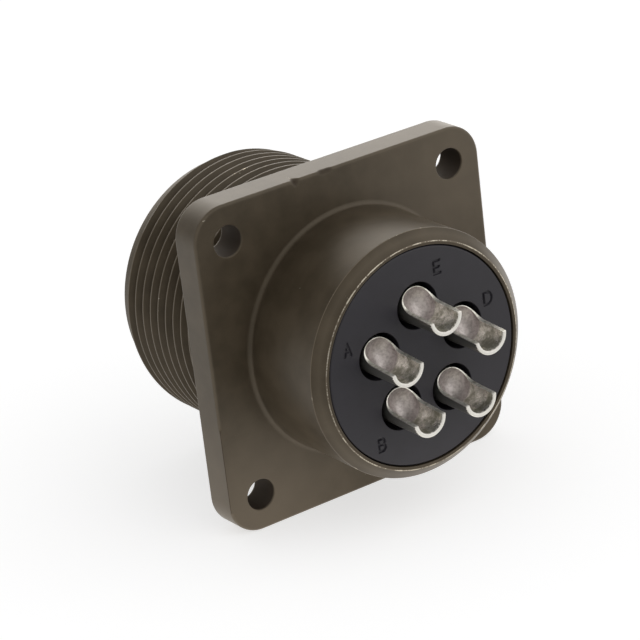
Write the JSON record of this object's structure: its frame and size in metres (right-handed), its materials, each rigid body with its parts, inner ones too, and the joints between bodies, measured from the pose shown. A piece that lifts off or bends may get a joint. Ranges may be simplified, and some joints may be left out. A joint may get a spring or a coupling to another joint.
{
  "type": "connector receptacle",
  "caption": "Box mounting round connector receptacle with a square flange, threaded mating barrel, black insulator, pins inside and scooped solder cups behind.",
  "frame": {"origin": "on the connector's axis, in the rear face of the flange, at the centre of the screw holes", "axes": "+Y along the axis to the mating side, +Z to the keyway, +X to the right as seen from behind"},
  "size_m": [0.0344, 0.0383, 0.0344],
  "materials": {
    "shell_plating": "satin olive drab plating",
    "insulator": "moulded satin black",
    "ring_steel": "plain spring steel",
    "contact_plating": "dull silver plating"
  },
  "bodies": {
    "root": {"shell": "shell_plating", "rear_insert": "insulator", "front_insert": "insulator", "retaining_ring": "ring_steel", "contact_a": "contact_plating", "contact_b": "contact_plating", "contact_c": "contact_plating", "contact_d": "contact_plating", "contact_e": "contact_plating"}
  },
  "joints": []
}
